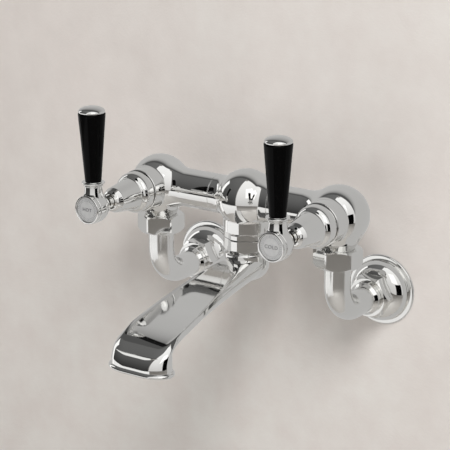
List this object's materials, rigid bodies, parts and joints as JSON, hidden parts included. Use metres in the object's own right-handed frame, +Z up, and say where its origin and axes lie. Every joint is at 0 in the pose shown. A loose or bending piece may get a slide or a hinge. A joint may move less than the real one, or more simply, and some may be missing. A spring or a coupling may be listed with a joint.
{
  "type": "wall mounted bath faucet",
  "caption": "Wall mounted bath mixer: a bridge body with ball ends, two upright lever valves, bent pipe legs to round wall flanges, and a wide swivelling spout that curves down.",
  "frame": {"origin": "on the wall's surface, midway between the two inlet axes and level with them", "axes": "+X along the wall to the right as seen facing it, +Y into the wall, +Z up"},
  "size_m": [0.2426, 0.2634, 0.2035],
  "materials": {
    "chrome": "polished chrome plate on cast and turned brass",
    "brass": "machined",
    "rubber": "moulded",
    "white_plastic": "moulded acetal",
    "black_nylon": "moulded nylon",
    "black_ceramic": "gloss glazed ceramic",
    "disc_ceramic": "lapped alumina",
    "steel": "plain stainless steel",
    "satin_disc": "satin, with printed word and marks"
  },
  "bodies": {
    "fixture": {"body": "chrome", "spout_socket": "chrome", "spout_nut": "chrome", "spout_washer": "white_plastic", "union_washers": "rubber", "wall_washers": "rubber", "wall_seals": "rubber", "hot_union_nut": "chrome", "hot_leg": "chrome", "hot_leg_ring": "chrome", "hot_wall_nut": "chrome", "hot_wall_flange": "chrome", "hot_wall_connector": "brass", "hot_cartridge": "brass", "hot_seat_seal": "rubber", "hot_fixed_disc": "disc_ceramic", "hot_bonnet": "chrome", "hot_bonnet_bush": "black_nylon", "cold_union_nut": "chrome", "cold_leg": "chrome", "cold_leg_ring": "chrome", "cold_wall_nut": "chrome", "cold_wall_flange": "chrome", "cold_wall_connector": "brass", "cold_cartridge": "brass", "cold_seat_seal": "rubber", "cold_fixed_disc": "disc_ceramic", "cold_bonnet": "chrome", "cold_bonnet_bush": "black_nylon"},
    "hot_lever": {"hot_moving_disc": "disc_ceramic", "hot_spindle": "brass", "hot_spindle_orings": "rubber", "hot_circlip": "steel", "hot_hub": "chrome", "hot_hub_screw": "steel", "hot_index_ring": "chrome", "hot_index_disc": "satin_disc", "hot_lever_collar": "chrome", "hot_lever_grip": "black_ceramic", "hot_lever_rod": "steel", "hot_lever_cap": "chrome"},
    "cold_lever": {"cold_moving_disc": "disc_ceramic", "cold_spindle": "brass", "cold_spindle_orings": "rubber", "cold_circlip": "steel", "cold_hub": "chrome", "cold_hub_screw": "steel", "cold_index_ring": "chrome", "cold_index_disc": "satin_disc", "cold_lever_collar": "chrome", "cold_lever_grip": "black_ceramic", "cold_lever_rod": "steel", "cold_lever_cap": "chrome"},
    "spout_arm": {"spout": "chrome", "spout_tail": "brass", "spout_orings": "rubber", "flow_straightener": "white_plastic"}
  },
  "joints": [
    {"name": "hot_lever_turn", "type": "hinge", "parent": "fixture", "child": "hot_lever", "pos_m": [-0.09, -0.078, 0.086], "axis": [0, 1, 0], "range_deg": [-90, 0]},
    {"name": "cold_lever_turn", "type": "hinge", "parent": "fixture", "child": "cold_lever", "pos_m": [0.09, -0.078, 0.086], "axis": [0, 1, 0], "range_deg": [0, 90]},
    {"name": "spout_swivel", "type": "hinge", "parent": "fixture", "child": "spout_arm", "pos_m": [0, -0.078, 0.05], "axis": [0, 0, 1], "range_deg": [-60, 60]}
  ]
}
